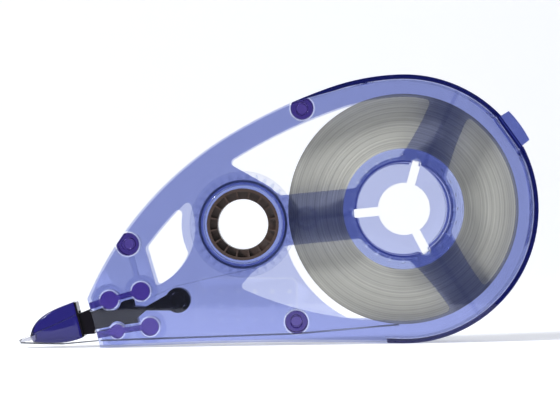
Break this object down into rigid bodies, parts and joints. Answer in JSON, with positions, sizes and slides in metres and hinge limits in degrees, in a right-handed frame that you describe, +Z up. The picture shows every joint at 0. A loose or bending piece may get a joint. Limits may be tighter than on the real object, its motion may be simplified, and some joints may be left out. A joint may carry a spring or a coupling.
{
  "type": "correction tape roller",
  "caption": "Teardrop correction tape roller: see-through case with geared supply and take-up reels, tape runs and a rocking applicator head.",
  "frame": {"origin": "middle of the object's box at its base, where the case stands on its nose corner and round end", "axes": "+Z up, X along the case with the applicator tip at -X, Y through the thickness with the front cover at -Y"},
  "size_m": [0.0904, 0.0108, 0.0465],
  "materials": {
    "clear_blue_case": "translucent blue, polished, fine scratches",
    "clear_blue_inner": "translucent blue, moulded",
    "correction_tape": "matte white correction film, wound",
    "liner_paper": "thin used release liner",
    "natural_washer": "undyed springy plastic, milky clear",
    "brown_knob": "dark brown moulded plastic, satin",
    "black_head": "black flexible plastic, satin",
    "deep_blue_head": "deep blue translucent plastic, glossy"
  },
  "bodies": {
    "case": {"front_cover": "clear_blue_case", "rear_case": "clear_blue_case", "back_pin": "clear_blue_case", "nose_pin": "clear_blue_case", "belly_pin": "clear_blue_case", "upper_nose_guide": "clear_blue_case", "lower_nose_guide": "clear_blue_case", "head_pivot_pin": "clear_blue_case", "supply_tape_run": "correction_tape", "liner_run": "liner_paper"},
    "drive_gear": {"drive_gear": "clear_blue_inner", "clutch_washer": "natural_washer"},
    "tape_spool": {"tape_core": "clear_blue_inner", "tape_winding": "correction_tape"},
    "takeup_reel": {"takeup_reel": "clear_blue_inner", "rewind_knob": "brown_knob", "liner_winding": "liner_paper"},
    "head": {"head_shank": "black_head", "head_collar": "black_head", "head_shell": "deep_blue_head", "applicator_blade": "deep_blue_head", "tip_tape": "correction_tape"}
  },
  "joints": [
    {"name": "drive_gear_spin", "type": "hinge", "parent": "case", "child": "drive_gear", "pos_m": [0.02194, -0.0001, 0.02327], "axis": [0, 1, 0], "continuous": true},
    {"name": "clutch_slip", "type": "hinge", "parent": "drive_gear", "child": "tape_spool", "pos_m": [0.02194, -0.0001, 0.02327], "axis": [0, 1, 0], "continuous": true},
    {"name": "takeup_spin", "type": "hinge", "parent": "case", "child": "takeup_reel", "pos_m": [-0.00597, -0.0001, 0.02101], "axis": [0, 1, 0], "continuous": true},
    {"name": "head_rock", "type": "hinge", "parent": "case", "child": "head", "pos_m": [-0.01747, -0.0001, 0.00799], "axis": [0, 1, 0], "range_deg": [-1.3, 1.3], "stiffness_Nm_per_rad": 0.05}
  ],
  "couplings": [
    {"joint": "takeup_spin", "follows": "drive_gear_spin", "ratio": -2.2941}
  ]
}
